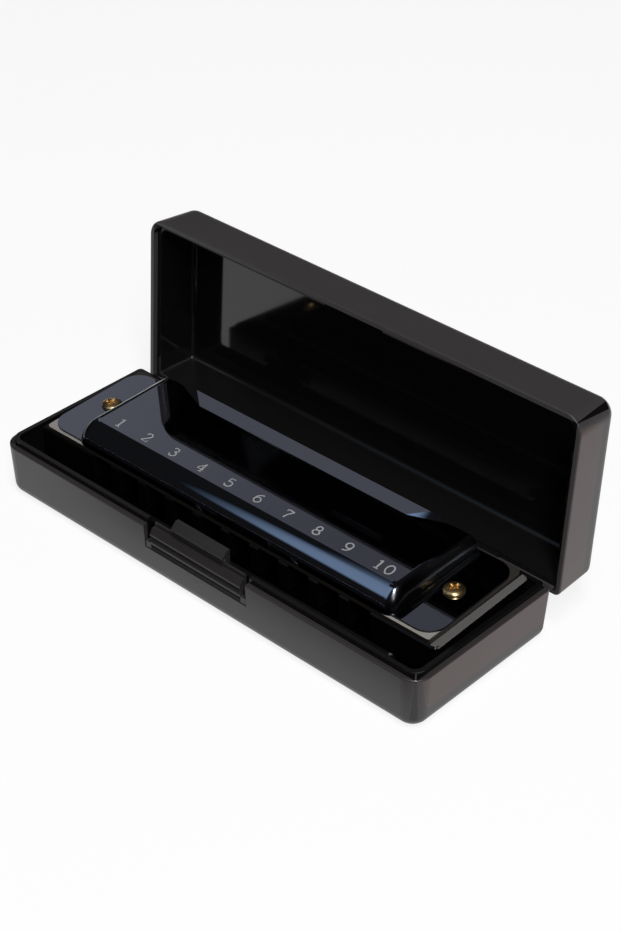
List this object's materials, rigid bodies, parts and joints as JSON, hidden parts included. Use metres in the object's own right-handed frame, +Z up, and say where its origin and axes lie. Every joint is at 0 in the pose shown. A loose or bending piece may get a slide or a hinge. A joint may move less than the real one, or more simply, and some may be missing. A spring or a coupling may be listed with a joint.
{
  "type": "harmonica case",
  "caption": "Hard plastic harmonica case with a hinged lid and a press latch, standing open with a small mouth organ lying in its base.",
  "frame": {"origin": "centre of the base's flat underside", "axes": "+X along the case from the low notes to the high, -Y towards the latch, +Z up"},
  "size_m": [0.1094, 0.0544, 0.0463],
  "materials": {
    "case_plastic": "gloss",
    "pin_steel": "drawn",
    "comb_plastic": "moulded",
    "plate_metal": "nickel plated",
    "reed_brass": "milled",
    "cover_metal": "polished",
    "screw_brass": "bright"
  },
  "bodies": {
    "case": {"case_base": "case_plastic"},
    "lid": {"case_lid": "case_plastic", "hinge_pin_left": "pin_steel", "hinge_pin_right": "pin_steel"},
    "latch": {"latch": "case_plastic"},
    "harmonica": {"comb": "comb_plastic", "blow_reed_plate": "plate_metal", "draw_reed_plate": "plate_metal", "blow_reed_rivets": "reed_brass", "draw_reed_rivets": "reed_brass", "blow_plate_screws": "screw_brass", "draw_plate_screws": "screw_brass", "upper_cover": "cover_metal", "lower_cover": "cover_metal", "cover_screw_left": "screw_brass", "cover_screw_right": "screw_brass", "cover_nut_left": "screw_brass", "cover_nut_right": "screw_brass", "blow_reed_1": "reed_brass", "draw_reed_1": "reed_brass", "blow_reed_2": "reed_brass", "draw_reed_2": "reed_brass", "blow_reed_3": "reed_brass", "draw_reed_3": "reed_brass", "blow_reed_4": "reed_brass", "draw_reed_4": "reed_brass", "blow_reed_5": "reed_brass", "draw_reed_5": "reed_brass", "blow_reed_6": "reed_brass", "draw_reed_6": "reed_brass", "blow_reed_7": "reed_brass", "draw_reed_7": "reed_brass", "blow_reed_8": "reed_brass", "draw_reed_8": "reed_brass", "blow_reed_9": "reed_brass", "draw_reed_9": "reed_brass", "blow_reed_10": "reed_brass", "draw_reed_10": "reed_brass"}
  },
  "joints": [
    {"name": "lid_hinge", "type": "hinge", "parent": "case", "child": "lid", "pos_m": [0, 0.0185, 0.00875], "axis": [1, 0, 0], "range_deg": [0, 92.9]},
    {"name": "latch_press", "type": "hinge", "parent": "case", "child": "latch", "pos_m": [0, -0.018, 0.00755], "axis": [-1, 0, 0], "range_deg": [0, 8], "stiffness_Nm_per_rad": 0.05},
    {"name": "harmonica_slide", "type": "slide", "parent": "case", "child": "harmonica", "axis": [0, -1, 0], "range_m": [0, 0.004]}
  ]
}
